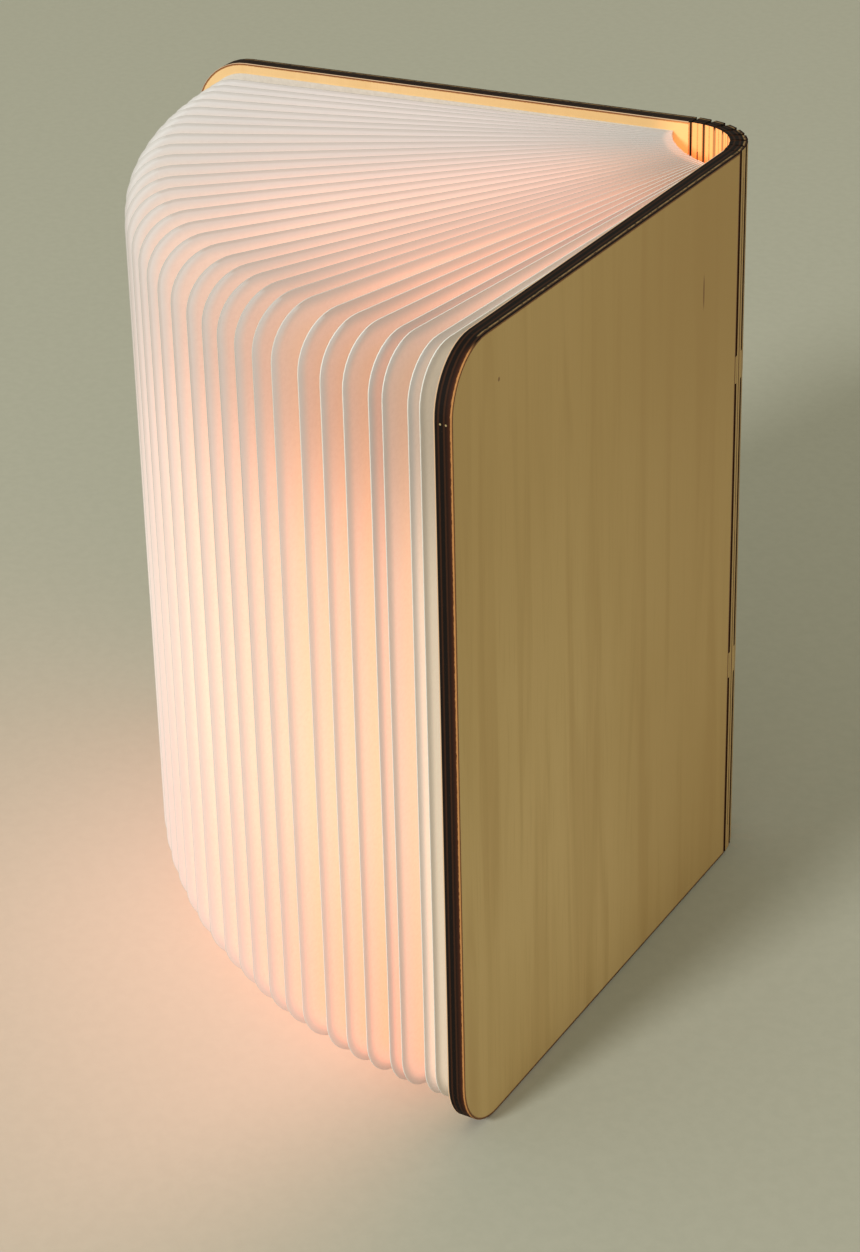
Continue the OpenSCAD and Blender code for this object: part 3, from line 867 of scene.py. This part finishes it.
def make_leaf(number, papers, lines):
    """One folded leaf, with the curls that join it to its neighbours at the spine."""
    inner, outer = lines[number]
    length = (outer - inner).length
    along = (outer - inner).normalized()
    across = Vector((-along.y, along.x))
    halves = []
    for beside in (number - 1, number + 1):
        if beside in lines:
            halves.append(min(SHUT_HALF, (lines[beside][0] - inner).length / 2))
        else:
            halves.append(LEAF_T / 2)
    path = leaf_path(length, *halves)
    rows = leaf_rows()
    points, places = [], []
    for z, cut in rows:
        for s, n in path:
            share = max(0.0, (s - CURL) / (length - CURL))
            s_here = s - share * cut
            n_here = n + leaf_drift(number, s_here, z, length)
            spot = inner + along * s_here + across * n_here
            points.append((spot.x, spot.y, z))
            places.append((length - s_here, z, number / LEAF_COUNT))
    faces, zones = leaf_faces(len(path), len(rows))
    piece = new_piece(f"leaf_{number:02d}", points, faces, papers, zones,
                      [("leaf", "FLOAT_VECTOR", places)])
    piece.data.polygons.foreach_set("use_smooth", [True] * len(faces))
    piece.data.set_sharp_from_angle(angle=SHARP_ANGLE)
    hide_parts(f"page_{number:02d}")
    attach(piece, body_of(f"page_{number:02d}"))


# ---------------------------------------------------------------- finishes of the CAD nodes
def finish_nodes(material, *names):
    """Gives CAD nodes, which show as they are, one material."""
    for name in names:
        mesh = frame["nodes"][name].data
        mesh.materials.clear()
        mesh.materials.append(material)


def plain_finish(name, colour, other, rough, metal=0.0, glow=None, level=0.0):
    """Small parts: two close tones broken up by noise, with a fine bump."""
    n = Nodes(name)
    grain = n.noise(n.place(), 400.0, 3.0, 0.55)
    tone = n.mix(n.smooth(grain, 0.3, 0.7), colour, other)
    extra = {"Emission_Color": glow, "Emission_Strength": level} if glow else {}
    return n.surface(Base_Color=tone, Roughness=rough, Metallic=metal,
                     Normal=n.bump(grain, 0.1, 0.1 * MM), **extra)


ENDPAPER_TONES = ((0.60, 0.58, 0.53), (0.55, 0.53, 0.48))
ENDPAPER_LIGHT = (1.0, 0.55, 0.30)


def endpaper_finish():
    """Paper glued to the inside of a cover, faintly lit by the lamp."""
    n = Nodes("endpaper")
    grain = n.noise(n.place(), 800.0, 3.0, 0.6)
    tone = n.mix(n.smooth(grain, 0.3, 0.7), *ENDPAPER_TONES)
    return n.surface(Base_Color=tone, Roughness=0.8, Specular_IOR_Level=0.2,
                     Emission_Color=ENDPAPER_LIGHT, Emission_Strength=0.05)


def finish_cad():
    """Finishes of the nodes that no piece replaces."""
    finish_nodes(endpaper_finish(), "front_endpaper", "back_endpaper")
    finish_nodes(plain_finish("magnet", (0.62, 0.62, 0.64), (0.55, 0.55, 0.58), 0.25, 1.0),
                 "front_magnets", "back_magnets", "switch_magnet")
    finish_nodes(plain_finish("diffuser", (0.86, 0.62, 0.42), (0.84, 0.59, 0.38), 0.4,
                              glow=(1.0, 0.42, 0.15), level=1.5), "diffuser_tube")
    finish_nodes(plain_finish("cap", (0.80, 0.78, 0.72), (0.74, 0.72, 0.66), 0.5,
                              glow=(1.0, 0.45, 0.15), level=0.25), "top_cap", "bottom_cap")
    finish_nodes(plain_finish("saddle", (0.78, 0.76, 0.70), (0.70, 0.68, 0.62), 0.8),
                 "tube_saddles")
    finish_nodes(plain_finish("bar", (0.68, 0.68, 0.70), (0.60, 0.60, 0.62), 0.35, 1.0),
                 "carrier_bar")
    finish_nodes(plain_finish("strip", (0.88, 0.87, 0.82), (0.82, 0.80, 0.75), 0.45),
                 "light_strip")
    finish_nodes(plain_finish("lamp_chip", (0.95, 0.75, 0.25), (0.90, 0.66, 0.18), 0.3,
                              glow=(1.0, 0.7, 0.35), level=3.0), "light_chips")
    finish_nodes(plain_finish("cell", (0.62, 0.64, 0.67), (0.55, 0.57, 0.60), 0.35, 0.8),
                 "battery_cell")
    finish_nodes(plain_finish("lead", (0.50, 0.05, 0.04), (0.42, 0.04, 0.03), 0.5),
                 "battery_leads", "light_leads")
    finish_nodes(plain_finish("board", (0.03, 0.20, 0.08), (0.02, 0.15, 0.06), 0.4),
                 "control_board")
    finish_nodes(plain_finish("board_part", (0.05, 0.05, 0.055), (0.08, 0.08, 0.085), 0.4),
                 "board_parts")
    finish_nodes(plain_finish("socket", (0.66, 0.66, 0.67), (0.58, 0.58, 0.60), 0.3, 1.0),
                 "charging_socket")
    finish_nodes(plain_finish("reed_glass", (0.55, 0.78, 0.72), (0.48, 0.70, 0.64), 0.1),
                 "reed_switch")


# ---------------------------------------------------------------- room
FLOOR_TONES = ((0.405, 0.405, 0.335), (0.390, 0.390, 0.322))
FLOOR_HALF = 4.0
# The floor lies this little below the lamp's foot
FLOOR_DROP = 0.2 * MM
# The lamp's light on the floor: colour, strength, the reach at which it is full, how far it fades
FLOOR_LIGHT = (1.0, 0.49, 0.37)
FLOOR_LEVEL = 0.43
LEAF_SPAN = 0.155
LIGHT_FADE = 0.11
# Directions from -Y towards +X, in degrees, from which to which the light fades in on each side
FADE_FRONT = (50, 24)
FADE_BACK = (-75, 5)
ROOM_COLOUR = (1.0, 0.97, 0.80)
ROOM_LEVEL = 0.64
BACKGROUND = (0.46, 0.46, 0.375)


def make_floor():
    """Matt floor that takes the lamp's warm light in front of the open leaves."""
    n = Nodes("floor")
    grain = n.noise(n.place(), 260.0, 3.0, 0.6)
    tone = n.mix(n.smooth(grain, 0.3, 0.7), *FLOOR_TONES)
    x, y = n.split(n.place())[:2]
    reach = n.math("SQRT", n.math("ADD", n.math("MULTIPLY", x, x), n.math("MULTIPLY", y, y)))
    beyond = n.math("SUBTRACT", LEAF_SPAN, n.math("MAXIMUM", reach, LEAF_SPAN))
    fade = n.math("EXPONENT", n.math("DIVIDE", beyond, LIGHT_FADE))
    bearing = n.math("ARCTAN2", x, n.math("MULTIPLY", y, -1.0))
    front, back = (n.smooth(bearing, math.radians(dark), math.radians(full))
                   for dark, full in (FADE_FRONT, FADE_BACK))
    spread = n.math("MULTIPLY", front, back)
    light = n.math("MULTIPLY", n.math("MULTIPLY", fade, spread), FLOOR_LEVEL)
    material = n.surface(Base_Color=tone, Roughness=0.9, Specular_IOR_Level=0.1,
                         Emission_Color=FLOOR_LIGHT, Emission_Strength=light)
    far = FLOOR_HALF
    points = [(-far, -far, 0), (far, -far, 0), (far, far, 0), (-far, far, 0)]
    floor = new_piece("floor", points, [[0, 1, 2, 3]], [material])
    floor.location.z = -FLOOR_DROP


def make_world():
    """Even light from all round, and the plain background that the camera, gloss and glass see."""
    world = bpy.data.worlds.new("room")
    scene.world = world
    world.use_nodes = True
    tree = world.node_tree
    room = tree.nodes["Background"]
    room.inputs["Color"].default_value = (*ROOM_COLOUR, 1)
    room.inputs["Strength"].default_value = ROOM_LEVEL
    seen = tree.nodes.new("ShaderNodeBackground")
    seen.inputs["Color"].default_value = (*BACKGROUND, 1)
    choose = tree.nodes.new("ShaderNodeMixShader")
    ray = tree.nodes.new("ShaderNodeLightPath")
    shown = ray.outputs["Is Camera Ray"]
    for kind in ("Is Glossy Ray", "Is Transmission Ray"):
        either = tree.nodes.new("ShaderNodeMath")
        either.operation = "MAXIMUM"
        tree.links.new(shown, either.inputs[0])
        tree.links.new(ray.outputs[kind], either.inputs[1])
        shown = either.outputs[0]
    tree.links.new(shown, choose.inputs[0])
    tree.links.new(room.outputs[0], choose.inputs[1])
    tree.links.new(seen.outputs[0], choose.inputs[2])
    tree.links.new(choose.outputs[0], tree.nodes["World Output"].inputs["Surface"])


# ---------------------------------------------------------------- the scene
make_camera()
make_world()
make_floor()
make_key_light()

for title, side in SIDES.items():
    make_cover(title, side)
    make_bridges(title, side)
for number in range(1, 2 * KERFS):
    make_slat(number)
papers = [paper_leaf(), paper_rim()]
lines = {number: leaf_line(number) for number in range(1, LEAF_COUNT + 1)}
for number in lines:
    make_leaf(number, papers, lines)
finish_cad()

scene.view_settings.view_transform = "Standard"
